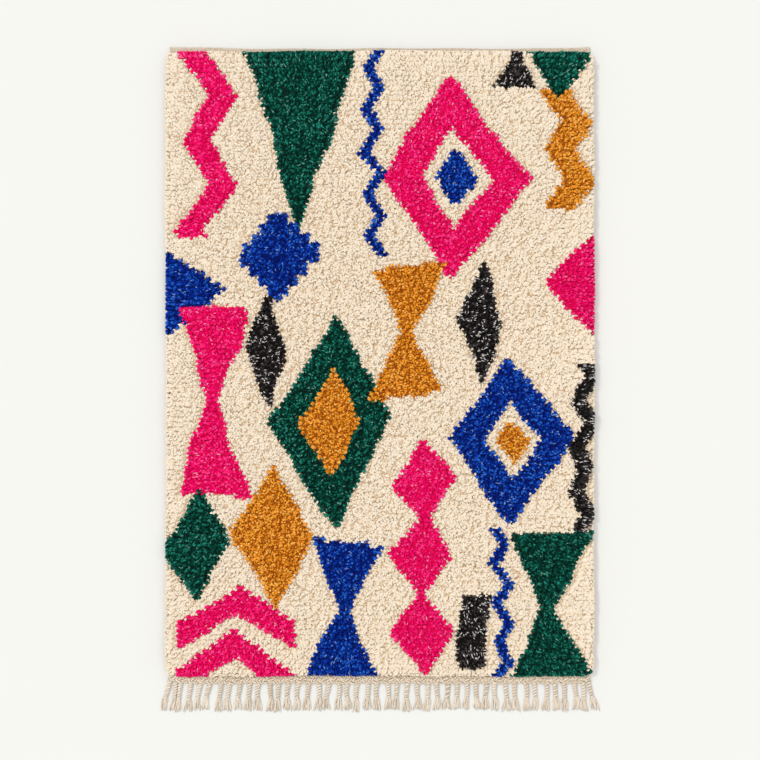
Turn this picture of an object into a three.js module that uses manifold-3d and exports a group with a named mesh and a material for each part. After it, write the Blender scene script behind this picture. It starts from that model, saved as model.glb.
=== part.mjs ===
import * as THREE from 'three';
import { mergeGeometries, mergeVertices } from 'three/addons/utils/BufferGeometryUtils.js';
import Module from 'manifold-3d';

// A hand-knotted wool rug lying flat with its pile up: a thick pile field, a narrow flat-woven
// heading across the top end, and a heading with a twisted fringe across the bottom end.
// Millimetres, +Z up, the floor at Z = 0, +Y towards the plain heading.

const wasm = await Module();
wasm.setup();

// The woven rug, from the outer edge of one heading to the outer edge of the other
const WOVEN_WIDTH = 1200;
const TOP_END = 941;
const BOTTOM_END = -864;
const SEAM_GAP = 0.3;

// The flat-woven headings. A bead is one wrap of the cord that locks the bottom heading.
const TOP_HEADING = { width: 14, thickness: 4.4, pitch: 46, beadRise: 0 };
const BOTTOM_HEADING = { width: 23, thickness: 4.2, pitch: 22, beadRise: 1.2 };

// How far the plain heading's outer edge sinks between its corners, and how near to them it starts
const TOP_DIP = { depth: 5, power: 6 };

// The slow waves of the edges: height, length and phase
const DRIFT = {
  left: [[1.2, 1240, -1], [0.8, 310, -2]],
  right: [[1.2, 1240, 1], [0.8, 310, 2]],
  pileTop: [[1.8, 940, 1.2], [1, 270, 0.4]],
  pileBottom: [[1.1, 830, 2.1], [0.8, 230, 0.9]],
  plainEnd: [[0.8, 640, 0.7], [0.9, 230, 2]],
  fringedEnd: [[0.8, 310, 1]],
};

// The pile field: a slab with a rounded, wavering rim and a lumpy top
const PILE_OVERHANG = 2;
const PILE_HEIGHT = 22;
const PILE_TOP = TOP_END - TOP_HEADING.width;
const PILE_BOTTOM = BOTTOM_END + BOTTOM_HEADING.width;
const PILE_SIDE = WOVEN_WIDTH / 2 + PILE_OVERHANG;
const RIM = { radius: 18, wall: 8, cornerPull: 9, cornerReach: 22 };
const RIM_STATIONS = [0, 5, 16];
const LUMP = { height: 4.2, pitch: 46 };

// The locks of pile that stand out around the rim
const SIDE_LOCK = { count: 36, width: 13, height: 7, inside: 5, outside: 9, root: 10, droop: 3 };
const END_LOCK = { count: 24, width: 13, height: 5, inside: 5, outside: 5, root: 12.5, droop: 3 };
const LOCK_TAPER = 0.5;
const LOCK_SWAY = 9;

// The fringe: cords of two plies, each opening into loose yarn ends
const CORD = {
  width: 6.8, height: 4.8, flatness: 0.7, start: 3, rootLength: 12, rootSize: 0.45, twisted: 46, halfTurns: 3, steps: 9,
  bow: 3,
};
const YARN = { count: 3, inset: 0.6, root: 1.6, middle: 2.6, tip: 1.3, length: 34, wander: 4, fan: 12 };
const INNER_CORDS = { count: 41, first: -563, last: 551, wander: 2 };
const LEAN = { middle: -3, slope: 6, curve: 5, wander: 4 };
const LEFT_CORDS = [{ root: -596, lean: -17 }, { root: -580, lean: -13 }];
const RIGHT_CORDS = [{ root: 572, lean: 12 }, { root: 591, lean: 21 }];

const WELD = 1e-4;
const UP = new THREE.Vector3(0, 0, 1);

// A repeatable scatter between -1 and 1
function scatter(index, salt) {
  const value = Math.sin(index * 12.9898 + salt * 78.233) * 43758.5453;
  return 2 * (value - Math.floor(value)) - 1;
}

function drift(waves, along) {
  const heights = waves.map(([height, length, phase]) => height * Math.sin((2 * Math.PI * along) / length + phase));
  return heights.reduce((sum, height) => sum + height);
}

// How far the rug's edge is drawn in at a distance from a corner
function cornerPull(distance) {
  return RIM.cornerPull * Math.exp(-Math.max(distance, 0) / RIM.cornerReach);
}

function sideEdge(sign, y) {
  const waves = sign > 0 ? DRIFT.right : DRIFT.left;
  return sign * (PILE_SIDE + drift(waves, y) - cornerPull(Math.min(PILE_TOP - y, y - PILE_BOTTOM)));
}

function topEdge(x) {
  return PILE_TOP + drift(DRIFT.pileTop, x) - cornerPull(PILE_SIDE - Math.abs(x));
}

function bottomEdge(x) {
  return PILE_BOTTOM + drift(DRIFT.pileBottom, x) + cornerPull(PILE_SIDE - Math.abs(x));
}

// The outer edges of the two headings
function topEnd(x) {
  const dip = TOP_DIP.depth * (1 - Math.abs(x / PILE_SIDE) ** TOP_DIP.power);
  return TOP_END + drift(DRIFT.plainEnd, x) - dip;
}

function bottomEnd(x) {
  return BOTTOM_END + drift(DRIFT.fringedEnd, x) + cornerPull(PILE_SIDE - Math.abs(x));
}

// Stations across a length: close together at both rims, then evenly spaced
function stations(length) {
  const inset = RIM_STATIONS.at(-1);
  const inner = length - 2 * inset;
  const count = Math.round(inner / LUMP.pitch);
  const even = Array.from({ length: count - 1 }, (_, i) => inset + ((i + 1) * inner) / count);
  const far = RIM_STATIONS.map((distance) => length - distance).reverse();
  return [...RIM_STATIONS, ...even, ...far];
}

const PILE_WIDTH = 2 * PILE_SIDE;
const PILE_LENGTH = PILE_TOP - PILE_BOTTOM;
const COLUMNS = stations(PILE_WIDTH);
const ROWS = stations(PILE_LENGTH);
const LAST_COLUMN = COLUMNS.length - 1;
const LAST_ROW = ROWS.length - 1;

// The plan position of a grid point of the pile field
function planPoint(column, row) {
  const x = COLUMNS[column] - PILE_SIDE;
  const y = ROWS[row] + PILE_BOTTOM;
  return new THREE.Vector2(
    THREE.MathUtils.lerp(sideEdge(-1, y), sideEdge(1, y), COLUMNS[column] / PILE_WIDTH),
    THREE.MathUtils.lerp(bottomEdge(x), topEdge(x), ROWS[row] / PILE_LENGTH),
  );
}

// The pile's height over a grid point: a rounded rim, then lumps
function pileHeight(column, row) {
  const across = Math.min(COLUMNS[column], PILE_WIDTH - COLUMNS[column]);
  const along = Math.min(ROWS[row], PILE_LENGTH - ROWS[row]);
  const inset = Math.min(across, along, RIM.radius) / RIM.radius;
  const round = Math.sqrt(1 - (1 - inset) ** 2);
  const lump = LUMP.height * scatter(column + COLUMNS.length * row, 1);
  return RIM.wall + (PILE_HEIGHT - RIM.wall) * round + lump * inset;
}

// The grid points around the rim, anticlockwise from the bottom left corner
function rimGridPoints() {
  const bottom = COLUMNS.slice(1).map((_, i) => [i, 0]);
  const right = ROWS.slice(1).map((_, i) => [LAST_COLUMN, i]);
  const top = COLUMNS.slice(1).map((_, i) => [LAST_COLUMN - i, LAST_ROW]);
  const left = ROWS.slice(1).map((_, i) => [0, LAST_ROW - i]);
  return [...bottom, ...right, ...top, ...left];
}

function bare(geometry) {
  geometry.deleteAttribute('normal');
  geometry.deleteAttribute('uv');
  return geometry;
}

function turnedOver(geometry) {
  const index = geometry.getIndex();
  for (let i = 0; i < index.count; i += 3) {
    const second = index.getX(i + 1);
    index.setX(i + 1, index.getX(i + 2));
    index.setX(i + 2, second);
  }
  return geometry;
}

function pileTop() {
  const geometry = bare(new THREE.PlaneGeometry(LAST_COLUMN, LAST_ROW, LAST_COLUMN, LAST_ROW));
  const points = geometry.getAttribute('position');
  for (let i = 0; i < points.count; i += 1) {
    const column = Math.round(points.getX(i) + LAST_COLUMN / 2);
    const row = Math.round(points.getY(i) + LAST_ROW / 2);
    const { x, y } = planPoint(column, row);
    points.setXYZ(i, x, y, pileHeight(column, row));
  }
  return geometry;
}

function pileWall(rim) {
  const geometry = bare(new THREE.PlaneGeometry(rim.length, 1, rim.length, 1));
  const points = geometry.getAttribute('position');
  for (let i = 0; i < points.count; i += 1) {
    const [column, row] = rim[Math.round(points.getX(i) + rim.length / 2) % rim.length];
    const { x, y } = planPoint(column, row);
    points.setXYZ(i, x, y, points.getY(i) > 0 ? pileHeight(column, row) : 0);
  }
  return geometry;
}

function pileUnderside(rim) {
  const outline = new THREE.Shape(rim.map(([column, row]) => planPoint(column, row)));
  return turnedOver(bare(new THREE.ShapeGeometry(outline)));
}

function solid(geometry) {
  const welded = mergeVertices(geometry, WELD);
  return new wasm.Manifold(new wasm.Mesh({
    numProp: 3,
    vertProperties: new Float32Array(welded.getAttribute('position').array),
    triVerts: new Uint32Array(welded.getIndex().array),
  }));
}

function geometryOf(solids) {
  const whole = solids.reduce((body, piece) => body.add(piece));
  const { vertProperties, triVerts } = whole.getMesh();
  const geometry = new THREE.BufferGeometry();
  geometry.setAttribute('position', new THREE.BufferAttribute(vertProperties, 3));
  geometry.setIndex(new THREE.BufferAttribute(triVerts, 1));
  geometry.computeVertexNormals();
  return geometry;
}

// A tapered strand of few sides. heading is its level direction, centre(t) a point of its axis
// and section(t) its half width, half height and turn, for t from 0 at the root to 1 at the tip.
// flatness is how high it lies, as a share of the height it would have standing free.
function strand({ sides, steps, heading, centre, section, flatness = 1 }) {
  const side = UP.clone().cross(heading);
  const geometry = mergeVertices(bare(new THREE.CylinderGeometry(1, 1, 1, sides, steps)), WELD);
  const points = geometry.getAttribute('position');
  for (let i = 0; i < points.count; i += 1) {
    const t = 0.5 - points.getY(i);
    const { width, height, turn } = section(t);
    const across = width * points.getX(i);
    const rise = height * points.getZ(i);
    const point = centre(t)
      .addScaledVector(side, across * Math.cos(turn) - rise * Math.sin(turn))
      .addScaledVector(UP, flatness * (across * Math.sin(turn) + rise * Math.cos(turn)));
    points.setXYZ(i, point.x, point.y, point.z);
  }
  return solid(geometry);
}

// One lock of pile lying out over the rim
function rimLock(lock, edge, heading, index) {
  const reach = lock.outside * (1 + 0.3 * scatter(index, 2));
  const sway = UP.clone().cross(heading).multiplyScalar(LOCK_SWAY * scatter(index, 3));
  return strand({
    sides: 4,
    steps: 1,
    heading,
    centre: (t) => edge.clone()
      .addScaledVector(heading, THREE.MathUtils.lerp(-lock.inside, reach, t))
      .addScaledVector(sway, t)
      .setZ(lock.root - lock.droop * t),
    section: (t) => ({
      width: lock.width * (1 - LOCK_TAPER * t),
      height: lock.height * (1 - LOCK_TAPER * t),
      turn: 0,
    }),
  });
}

// Locks spread along one edge. edgeAt(share) is the point of the edge at a share of its length.
function lockRow(lock, heading, salt, edgeAt) {
  return Array.from({ length: lock.count }, (_, i) => {
    const share = (i + 0.5 + 0.25 * scatter(i, salt)) / lock.count;
    return rimLock(lock, edgeAt(share), heading, i + 100 * salt);
  });
}

function rimLocks() {
  const alongX = (share) => THREE.MathUtils.lerp(-PILE_SIDE, PILE_SIDE, share);
  const alongY = (share) => THREE.MathUtils.lerp(PILE_BOTTOM, PILE_TOP, share);
  const sideAt = (sign) => (share) => {
    const y = alongY(share);
    return new THREE.Vector3(sideEdge(sign, y), y, 0);
  };
  const endAt = (edge) => (share) => {
    const x = alongX(share);
    return new THREE.Vector3(x, edge(x), 0);
  };
  return [
    ...lockRow(SIDE_LOCK, new THREE.Vector3(-1, 0, 0), 1, sideAt(-1)),
    ...lockRow(SIDE_LOCK, new THREE.Vector3(1, 0, 0), 2, sideAt(1)),
    ...lockRow(END_LOCK, new THREE.Vector3(0, -1, 0), 3, endAt(bottomEdge)),
    ...lockRow(END_LOCK, new THREE.Vector3(0, 1, 0), 4, endAt(topEdge)),
  ];
}

function pileField() {
  const rim = rimGridPoints();
  const slab = mergeGeometries([pileTop(), pileWall(rim), pileUnderside(rim)]);
  return geometryOf([solid(slab), ...rimLocks()]);
}

// Points along the pile's edge in one grid row, no further apart than a pitch
function edgePoints(row, pitch) {
  const corners = COLUMNS.map((_, column) => planPoint(column, row));
  const points = corners.slice(1).flatMap((next, i) => {
    const parts = Math.ceil(corners[i].distanceTo(next) / pitch);
    return Array.from({ length: parts }, (_, part) => corners[i].clone().lerp(next, part / parts));
  });
  return [...points, corners.at(-1)];
}

// A flat-woven heading: a band from the pile's edge, less the seam, to its own outer edge
function band({ edge, outward, outerAt, heading }) {
  const along = outward > 0 ? edge : [...edge].reverse();
  const steps = along.length - 1;
  const section = [[0, 0], [0, 0.85], [0.3, 1], [0.7, 1], [1, 0.6], [1, 0]];
  const profile = new THREE.Shape(section.map(([depth, rise]) => new THREE.Vector2(depth, rise)));
  const geometry = bare(new THREE.ExtrudeGeometry(profile, { depth: 1, steps, bevelEnabled: false }));
  const points = geometry.getAttribute('position');
  for (let i = 0; i < points.count; i += 1) {
    const station = Math.round(points.getZ(i) * steps);
    const start = along[station];
    const inner = start.y + outward * SEAM_GAP;
    const thickness = heading.thickness + heading.beadRise * (station % 2);
    const y = THREE.MathUtils.lerp(inner, outerAt(start.x), points.getX(i));
    points.setXYZ(i, start.x, y, thickness * points.getY(i));
  }
  return geometry;
}

function headingTop() {
  const edge = edgePoints(LAST_ROW, TOP_HEADING.pitch);
  return geometryOf([solid(band({ edge, outward: 1, outerAt: topEnd, heading: TOP_HEADING }))]);
}

// Every cord of the fringe, left to right: where it starts and how far its tip leans sideways
function cordPlaces() {
  const { count, first, last, wander } = INNER_CORDS;
  const inner = Array.from({ length: count }, (_, i) => {
    const root = THREE.MathUtils.lerp(first, last, i / (count - 1)) + wander * scatter(i, 20);
    const share = root / PILE_SIDE;
    const lean = LEAN.middle + LEAN.slope * share + LEAN.curve * share ** 3 + LEAN.wander * scatter(i, 21);
    return { root, lean };
  });
  const cords = [...LEFT_CORDS, ...inner, ...RIGHT_CORDS];
  const tips = cords.map(({ root, lean }) => root + lean);
  return cords.map((cord, i) => {
    const room = Math.min(tips[i] - (tips[i - 1] ?? -Infinity), (tips[i + 1] ?? Infinity) - tips[i]);
    return { ...cord, fan: Math.min(YARN.fan, room / 2 - 1) };
  });
}

// A twisted cord and the loose yarn ends that it opens into, all level on the floor
function fringeCord({ root, lean, fan }, index) {
  const heading = new THREE.Vector3(0, -1, 0);
  const start = bottomEnd(root) + CORD.start;
  const neck = BOTTOM_END - CORD.twisted;
  const length = start - neck;
  const bow = CORD.bow * scatter(index, 22);
  const shareAt = (y) => (start - y) / (length + YARN.length);
  const axisX = (y) => root + lean * shareAt(y) + bow * Math.sin(Math.PI * shareAt(y));

  const sizeAt = (t) => THREE.MathUtils.lerp(CORD.rootSize, 1, Math.min(1, (length * t) / CORD.rootLength));
  const cord = strand({
    sides: 4,
    steps: CORD.steps,
    heading,
    flatness: CORD.flatness,
    centre: (t) => {
      const y = start - length * t;
      return new THREE.Vector3(axisX(y), y, CORD.width * CORD.flatness * sizeAt(t));
    },
    section: (t) => ({
      width: CORD.width * sizeAt(t),
      height: CORD.height * sizeAt(t),
      turn: CORD.halfTurns * Math.PI * t,
    }),
  });

  const yarns = Array.from({ length: YARN.count }, (_, i) => {
    const place = i - (YARN.count - 1) / 2;
    const reach = YARN.length + YARN.wander * scatter(YARN.count * index + i, 23);
    const taper = (t) => THREE.MathUtils.lerp(YARN.middle, YARN.tip, 2 * t - 1);
    const radiusAt = (t) => (t === 0 ? YARN.root : taper(t));
    return strand({
      sides: 3,
      steps: 2,
      heading,
      centre: (t) => {
        const y = THREE.MathUtils.lerp(neck + YARN.inset, neck - reach, t);
        const offset = THREE.MathUtils.lerp(2 * YARN.root, fan - YARN.middle, t ** 0.8);
        const fall = THREE.MathUtils.lerp(CORD.width * CORD.flatness, 0, Math.min(1, 2 * t));
        return new THREE.Vector3(axisX(y) + place * offset, y, Math.max(fall, radiusAt(t) / 2));
      },
      section: (t) => ({ width: radiusAt(t), height: radiusAt(t), turn: 0 }),
    });
  });
  return [cord, ...yarns];
}

function fringeBottom() {
  const edge = edgePoints(0, BOTTOM_HEADING.pitch);
  const strip = band({ edge, outward: -1, outerAt: bottomEnd, heading: BOTTOM_HEADING });
  return geometryOf([solid(strip), ...cordPlaces().flatMap(fringeCord)]);
}

const WOOL = { metalness: 0, roughness: 0.95 };
const rug = new THREE.Group();
const PIECES = [
  ['pile_field', pileField(), 0xe6d6bd],
  ['heading_top', headingTop(), 0xcdbda4],
  ['fringe_bottom', fringeBottom(), 0xddd0be],
];
for (const [name, geometry, color] of PIECES) {
  const mesh = new THREE.Mesh(geometry, new THREE.MeshStandardMaterial({ color, ...WOOL }));
  mesh.name = name;
  rug.add(mesh);
}

// The origin is the middle of the whole rug on the floor
const middle = new THREE.Box3().setFromObject(rug).getCenter(new THREE.Vector3());
rug.position.set(-middle.x, -middle.y, 0);

export default rug;
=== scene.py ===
"""The looks of a hand-knotted wool rug that lies flat, pile up, on a pale floor.

Metres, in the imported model's frame: +X across the rug, +Y towards the plain heading, +Z up.
"""

import logging
import math
from dataclasses import dataclass, field
from enum import Enum, IntEnum

import bpy
import numpy as np
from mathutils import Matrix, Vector


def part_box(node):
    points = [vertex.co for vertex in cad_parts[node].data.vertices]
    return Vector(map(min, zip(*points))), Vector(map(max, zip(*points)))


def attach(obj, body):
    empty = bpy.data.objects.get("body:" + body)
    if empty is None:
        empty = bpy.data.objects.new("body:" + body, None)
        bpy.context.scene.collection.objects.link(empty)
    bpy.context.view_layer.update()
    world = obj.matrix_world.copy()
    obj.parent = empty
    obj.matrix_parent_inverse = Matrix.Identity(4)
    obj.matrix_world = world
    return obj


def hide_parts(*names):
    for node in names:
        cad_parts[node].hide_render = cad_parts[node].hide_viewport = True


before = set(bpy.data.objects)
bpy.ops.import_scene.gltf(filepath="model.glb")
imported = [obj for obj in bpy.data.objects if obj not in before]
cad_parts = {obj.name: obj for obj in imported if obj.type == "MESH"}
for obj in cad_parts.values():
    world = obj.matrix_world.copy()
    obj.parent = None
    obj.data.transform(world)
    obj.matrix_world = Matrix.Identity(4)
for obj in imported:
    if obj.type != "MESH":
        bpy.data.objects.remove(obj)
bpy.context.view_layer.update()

LOG = logging.getLogger("rug")
Colour = tuple[float, float, float]
Wave = tuple[float, float, float]
LineWave = tuple[float, float, float, float]

WHITE = (1.0, 1.0, 1.0)
SCREEN_GAMMA = 2.2
FULL_TURN = 2 * math.pi
# The least length that is divided by.
TINY = 1e-9
# How far the undersides stay off the floor.
FLOOR_GAP = 0.0004
# The numbers that mix up scatter's repeatable values.
SCATTER_PACE, SCATTER_SALT, SCATTER_SIZE = 12.9898, 78.233, 43758.5453
# How many waves a drift adds up, how unlike their lengths and their starts are, and what brings
# it to about 1.
DRIFT_WAVES, DRIFT_SPREAD, DRIFT_START, DRIFT_SCALE = 5, 0.4, 9, 2.4
# A strand's tone where it has its yarn's body colour, its lit colour and its pale colour.
BODY_TONE, LIT_TONE, PALE_TONE = 0.45, 0.88, 1.0
# The levels of noise between which a mottle goes from its low colour to its high one.
MOTTLE_STOPS = (0.3, 0.7)
# The numbers of a colour mix's inputs for the share and the two colours, and of its output.
MIX_INPUTS, MIX_OUTPUT = (0, 6, 7), 2


def rgb(red: int, green: int, blue: int) -> Colour:
    """Turns a screen colour of 0 to 255 into the three linear levels of light."""
    return tuple((level / 255) ** SCREEN_GAMMA for level in (red, green, blue))


def scatter(index: np.ndarray | float, salt: float) -> np.ndarray:
    """Gives repeatable values between -1 and 1, the same ones as the solids use."""
    value = np.sin(np.asarray(index) * SCATTER_PACE + salt * SCATTER_SALT) * SCATTER_SIZE
    return 2 * (value - np.floor(value)) - 1


def wave(along: np.ndarray, height: float, length: float, phase: float) -> np.ndarray:
    """Gives a sine wave's height at each place along it."""
    return height * np.sin(FULL_TURN * along / length + phase)


def ripple(along: np.ndarray, waves: tuple[Wave, ...]) -> np.ndarray:
    """Gives the height of several waves at once, each with its own height, length and phase."""
    return sum(wave(along, *part) for part in waves)


def saw(turns: np.ndarray) -> np.ndarray:
    """Gives a value that runs from -1 to 1 and back in each turn, in straight lines."""
    return 4 * np.abs(turns - np.floor(turns + 0.5)) - 1


def lerp(low: np.ndarray, high: np.ndarray, share: np.ndarray) -> np.ndarray:
    """Gives the value at a share of the way from low to high."""
    return low + (high - low) * share


def unit(vectors: np.ndarray) -> np.ndarray:
    """Scales each vector of the last axis to length 1."""
    return vectors / np.maximum(np.linalg.norm(vectors, axis=-1, keepdims=True), TINY)


def drift(x: np.ndarray, y: np.ndarray, length: float, salt: int) -> np.ndarray:
    """Gives a smooth random value between about -1 and 1 over the rug.

    Args:
        x: places across the rug.
        y: places along the rug.
        length: the distance over which it changes.
        salt: which of such patterns.

    Returns:
        The value at each place.
    """
    start_salt, length_salt = salt + 3, salt + 7
    total = np.zeros_like(x)
    for turn in range(DRIFT_WAVES):
        heading = math.pi * scatter(turn, salt)
        stretch = length * (1 + DRIFT_SPREAD * scatter(turn, length_salt))
        start = DRIFT_START * scatter(turn, start_salt)
        total += wave(x * np.cos(heading) + y * np.sin(heading), 1, stretch, start)
    return total / DRIFT_SCALE


def drift_both(x: np.ndarray, y: np.ndarray, length: float, salts: tuple[int, int]) -> np.ndarray:
    """Gives two such values at each place, one across the rug and one along it."""
    return np.stack([drift(x, y, length, salt) for salt in salts], axis=1)


class Yarn(Enum):
    """The dyed wools of the pile."""

    CREAM = 0
    PINK = 1
    GREEN = 2
    BLUE = 3
    OCHRE = 4
    CHARCOAL = 5


class Way(Enum):
    """The way a tooth points, as its steps across and along the rug."""

    UP = (0, 1)
    DOWN = (0, -1)
    LEFT = (-1, 0)
    RIGHT = (1, 0)


class End(Enum):
    """The rug's two ends, by the way that they look along it."""

    PLAIN = 1
    FRINGED = -1


class PileRun(IntEnum):
    """Which run of repeatable values each unevenness of the pile takes."""

    HERD_ACROSS = 1
    HERD_ALONG = 2
    HEIGHT = 4
    ABRASH = 6
    ROW_DYE = 9
    CLUMP_ACROSS = 13
    CLUMP_ALONG = 14
    CARDING = 21


class EndRun(IntEnum):
    """Which run of repeatable values each unevenness of the headings and the fringe takes."""

    CORD_PLACE = 20
    CORD_LEAN = 21
    CORD_BOW = 22
    CORD_TURN = 24
    CORD_LAY = 25
    CORD_KINK = 27
    BAND_RELIEF = 31
    BAND_TONE = 33
    TWINING = 40


class NodeBench:
    """A short way to lay out one material's shader nodes."""

    def __init__(self, name: str) -> None:
        """Starts a material with a principled surface.

        Args:
            name: the material's name.
        """
        self.material = bpy.data.materials.new(name)
        self.material.use_nodes = True
        self.tree = self.material.node_tree
        self.surface = self.tree.nodes["Principled BSDF"]

    def add(self, kind: str, values: dict | None = None, **settings: object) -> bpy.types.Node:
        """Adds one node.

        Args:
            kind: the node's type.
            values: numbers for its sockets, by socket name or number.
            settings: its own properties.

        Returns:
            The new node.
        """
        node = self.tree.nodes.new(kind)
        for name, value in settings.items():
            setattr(node, name, value)
        for socket, value in (values or {}).items():
            node.inputs[socket].default_value = value
        return node

    def feed(self, socket: bpy.types.NodeSocket, value: object) -> None:
        """Fills an input.

        Args:
            socket: the input.
            value: an output to join to it, or else a number or a colour to set it to.
        """
        if isinstance(value, bpy.types.NodeSocket):
            self.tree.links.new(value, socket)
        else:
            socket.default_value = value if isinstance(value, float) else (*value, 1)

    def attribute(self, name: str) -> bpy.types.Node:
        """Reads an attribute of the mesh's points."""
        return self.add("ShaderNodeAttribute", attribute_name=name)

    def math(self, operation: str, *values: object) -> bpy.types.NodeSocket:
        """Works something out from outputs and numbers.

        Args:
            operation: what is worked out.
            values: the outputs and numbers, in the order of the node's inputs.

        Returns:
            The result's output.
        """
        node = self.add("ShaderNodeMath", operation=operation)
        for socket, value in zip(node.inputs, values):
            self.feed(socket, value)
        return node.outputs[0]

    def pattern(self, kind: str, values: dict, **settings: object) -> bpy.types.Node:
        """Adds a pattern in the object's own coordinates.

        Args:
            kind: the node's type.
            values: numbers for its sockets, by name.
            settings: its own properties.

        Returns:
            The new node.
        """
        node = self.add(kind, values, **settings)
        self.feed(node.inputs["Vector"], self.add("ShaderNodeTexCoord").outputs["Object"])
        return node

    def noise(self, scale: float, detail: float) -> bpy.types.NodeSocket:
        """Adds noise of so many grains to a metre, with so many finer layers."""
        return self.pattern("ShaderNodeTexNoise", {"Scale": scale, "Detail": detail}).outputs["Fac"]

    def ramp(
        self, source: bpy.types.NodeSocket, *stops: tuple[float, Colour],
    ) -> bpy.types.NodeSocket:
        """Adds a colour ramp that a value drives.

        Args:
            source: the value.
            stops: places between 0 and 1 with their colours.

        Returns:
            The ramp's colour output.
        """
        node = self.add("ShaderNodeValToRGB")
        elements = node.color_ramp.elements
        while len(elements) < len(stops):
            elements.new(0.5)
        for element, (place, colour) in zip(elements, stops):
            element.position = place
            element.color = (*colour, 1)
        self.feed(node.inputs["Fac"], source)
        return node.outputs["Color"]

    def blend(
        self, mode: str, share: object, first: object, second: object,
    ) -> bpy.types.NodeSocket:
        """Blends two colours.

        Args:
            mode: the way to blend.
            share: how much of the second colour, a number or a socket.
            first: the first colour's socket, or a colour.
            second: the second colour's socket, or a colour.

        Returns:
            The blended colour's output.
        """
        node = self.add("ShaderNodeMix", data_type="RGBA", blend_type=mode)
        for number, value in zip(MIX_INPUTS, (share, first, second)):
            self.feed(node.inputs[number], value)
        return node.outputs[MIX_OUTPUT]

    def mottle(
        self, colour: object, fibre: bpy.types.NodeSocket, low: Colour, high: Colour = WHITE,
    ) -> bpy.types.NodeSocket:
        """Mottles a colour with noise.

        Args:
            colour: the colour's output.
            fibre: the noise.
            low: what the colour is multiplied by where the noise is low.
            high: what it is multiplied by where the noise is high.

        Returns:
            The mottled colour's output.
        """
        uneven = self.ramp(fibre, *zip(MOTTLE_STOPS, (low, high)))
        return self.blend("MULTIPLY", 1.0, colour, uneven)

    def bump(self, height: bpy.types.NodeSocket, strength: float, distance: float) -> None:
        """Raises the surface.

        Args:
            height: the height's output.
            strength: how much of it shows, 0 to 1.
            distance: how far a height of 1 stands up.
        """
        node = self.add("ShaderNodeBump", {"Strength": strength, "Distance": distance})
        self.feed(node.inputs["Height"], height)
        self.feed(self.surface.inputs["Normal"], node.outputs["Normal"])

    def dress(self, colour: bpy.types.NodeSocket, **constants: object) -> bpy.types.Material:
        """Gives the surface its colour and its constants.

        Args:
            colour: the colour's output.
            constants: numbers and colours of the surface, by socket name with _ for a space.

        Returns:
            The finished material.
        """
        self.feed(self.surface.inputs["Base Color"], colour)
        for name, value in constants.items():
            self.feed(self.surface.inputs[name.replace("_", " ")], value)
        return self.material


@dataclass(frozen=True)
class WoolFinish:
    """The finish of one wool: its dyed tones from deep to pale, and painted shade towards its
    roots.

    Points carry "tone", 0 to 1, for one strand's dyed tone, "along", its painted light, low at its
    root and 1 at its tip, and "strand", -1 to 1 over its sides. A tone of 1 is a pale strand carded
    into the wool.
    """

    name: str
    deep: Colour
    body: Colour
    lit: Colour
    pale: Colour
    carded: float = 0.0
    # The root colour and the next one are painted shade: they darken each strand from its root up,
    # where the pile is deep, by its painted light, at the three stops' light levels.
    root: Colour = (0.5, 0.46, 0.46)
    middle_shade: Colour = (0.98, 0.96, 0.94)
    shade_stops: tuple[float, float, float] = (0.3, 0.75, 1.0)
    fibre_scale: float = 700
    fibre_detail: float = 3.0
    fibre_bump: float = 0.3
    fibre_weight: float = 1.6
    groove_turn: float = 9.4
    groove_depth: float = 0.0003
    mottle: tuple[float, float] = (0.89, 1.05)
    roughness: float = 0.92
    gloss: float = 0.06
    sheen: float = 0.06
    sheen_roughness: float = 0.6

    def shaded_hollow(self, depth: float) -> Colour:
        """Gives the body colour darkened by painted shade, at 0 for none and 1 for as much as at
        the strands' roots.
        """
        return tuple(level * shade**depth for level, shade in zip(self.body, self.root))

    def material(self) -> bpy.types.Material:
        """Makes the material.

        Returns:
            The finished material.
        """
        bench = NodeBench(self.name)
        tone, along, strand = (
            bench.attribute(name).outputs["Fac"] for name in ("tone", "along", "strand")
        )
        tones = (0.0, BODY_TONE, LIT_TONE, PALE_TONE)
        dye = bench.ramp(tone, *zip(tones, (self.deep, self.body, self.lit, self.pale)))
        # Painted shade: the dyed colour is darkened towards each strand's root by its painted
        # light.
        shade = bench.ramp(along, *zip(self.shade_stops, (self.root, self.middle_shade, WHITE)))
        root_shaded = bench.blend("MULTIPLY", 1.0, dye, shade)
        fibre = bench.noise(self.fibre_scale, self.fibre_detail)
        groove = bench.math("COSINE", bench.math("MULTIPLY", strand, self.groove_turn))
        relief = bench.math("MULTIPLY_ADD", fibre, self.fibre_weight, groove)
        bench.bump(relief, self.fibre_bump, self.groove_depth)
        low, high = ((level,) * 3 for level in self.mottle)
        return bench.dress(
            bench.mottle(root_shaded, fibre, low, high),
            Roughness=self.roughness, Specular_IOR_Level=self.gloss,
            Sheen_Weight=self.sheen, Sheen_Roughness=self.sheen_roughness, Sheen_Tint=self.lit,
        )


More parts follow.
